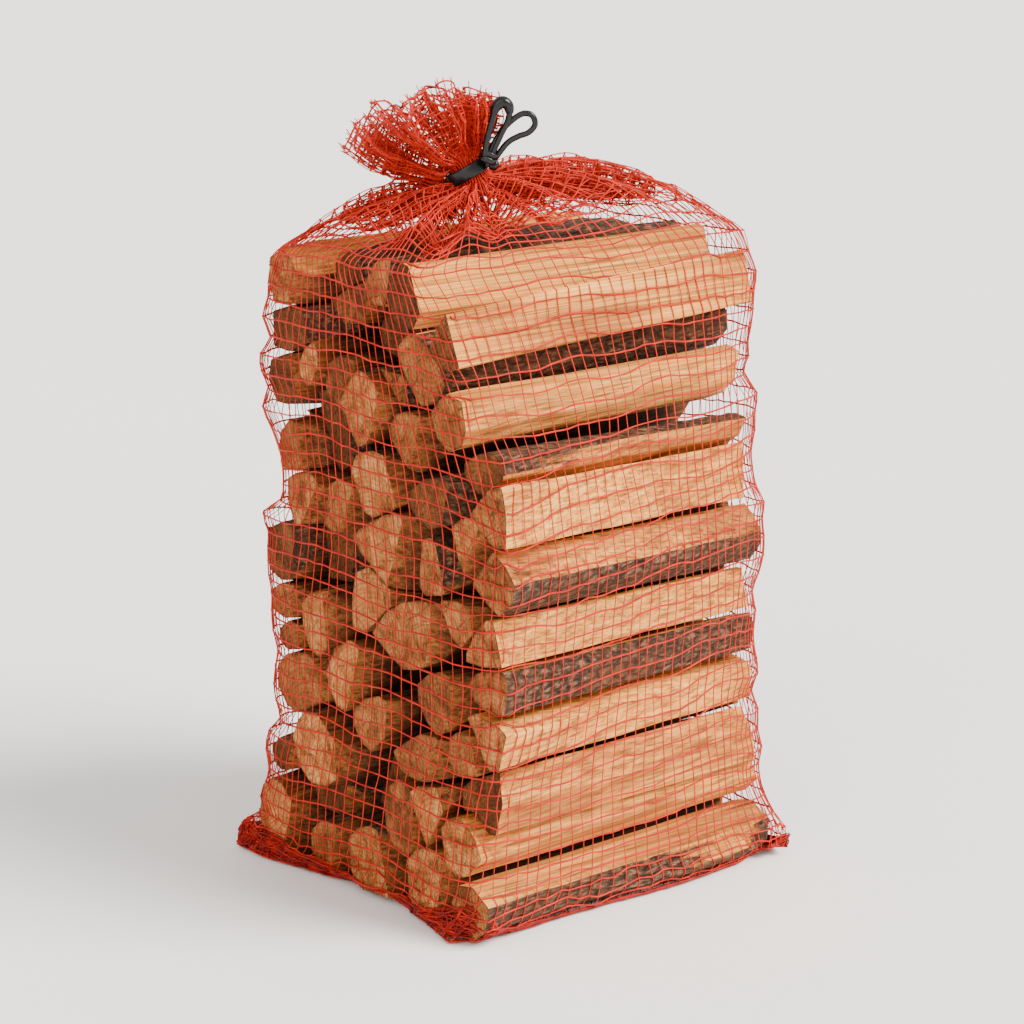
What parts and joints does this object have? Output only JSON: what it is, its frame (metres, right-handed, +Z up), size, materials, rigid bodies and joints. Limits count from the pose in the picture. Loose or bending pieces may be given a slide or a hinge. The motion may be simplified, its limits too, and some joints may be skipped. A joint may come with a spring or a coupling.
{
  "type": "net of kindling",
  "caption": "Upright stack of split kindling sticks held in an open mesh net bag, gathered and tied at the top.",
  "frame": {"origin": "on the floor under the middle of the net's box", "axes": "+Z up, +X along the sticks towards their far ends, -Y towards the front of the stack"},
  "size_m": [0.223, 0.2278, 0.4179],
  "materials": {
    "split_wood": "rough split and sawn faces",
    "bark": "rough dark bark",
    "net": "satin red thread",
    "tie": "glossy black"
  },
  "bodies": {
    "root": {"back_stick_01": "split_wood", "back_stick_02": "bark", "back_stick_03": "bark", "back_stick_04": "split_wood", "back_stick_05": "bark", "back_stick_06": "bark", "back_stick_07": "split_wood", "back_stick_08": "split_wood", "back_stick_09": "split_wood", "back_stick_10": "bark", "back_stick_11": "bark", "back_stick_12": "split_wood", "back_stick_13": "split_wood", "back_stick_14": "bark", "back_stick_15": "split_wood", "back_stick_16": "split_wood", "back_stick_17": "bark", "back_stick_18": "bark", "back_stick_19": "split_wood", "back_stick_20": "split_wood", "front_stick_01": "split_wood", "front_stick_02": "split_wood", "front_stick_03": "bark", "front_stick_04": "split_wood", "front_stick_05": "bark", "front_stick_06": "split_wood", "front_stick_07": "bark", "front_stick_08": "split_wood", "front_stick_09": "bark", "front_stick_10": "split_wood", "front_stick_11": "split_wood", "front_stick_12": "split_wood", "front_stick_13": "split_wood", "inner_stick_01": "split_wood", "inner_stick_02": "bark", "middle_stick_01": "split_wood", "middle_stick_02": "split_wood", "middle_stick_03": "split_wood", "middle_stick_04": "split_wood", "middle_stick_05": "split_wood", "middle_stick_06": "split_wood", "middle_stick_07": "split_wood", "middle_stick_08": "split_wood", "middle_stick_09": "split_wood", "middle_stick_10": "bark", "net_bag": "net", "second_stick_01": "split_wood", "second_stick_02": "bark", "second_stick_03": "bark", "second_stick_04": "split_wood", "second_stick_05": "split_wood", "second_stick_06": "split_wood", "second_stick_07": "split_wood", "second_stick_08": "split_wood", "second_stick_09": "split_wood", "second_stick_10": "split_wood", "second_stick_11": "split_wood", "second_stick_12": "split_wood", "second_stick_13": "split_wood", "tie": "tie"}
  },
  "joints": []
}
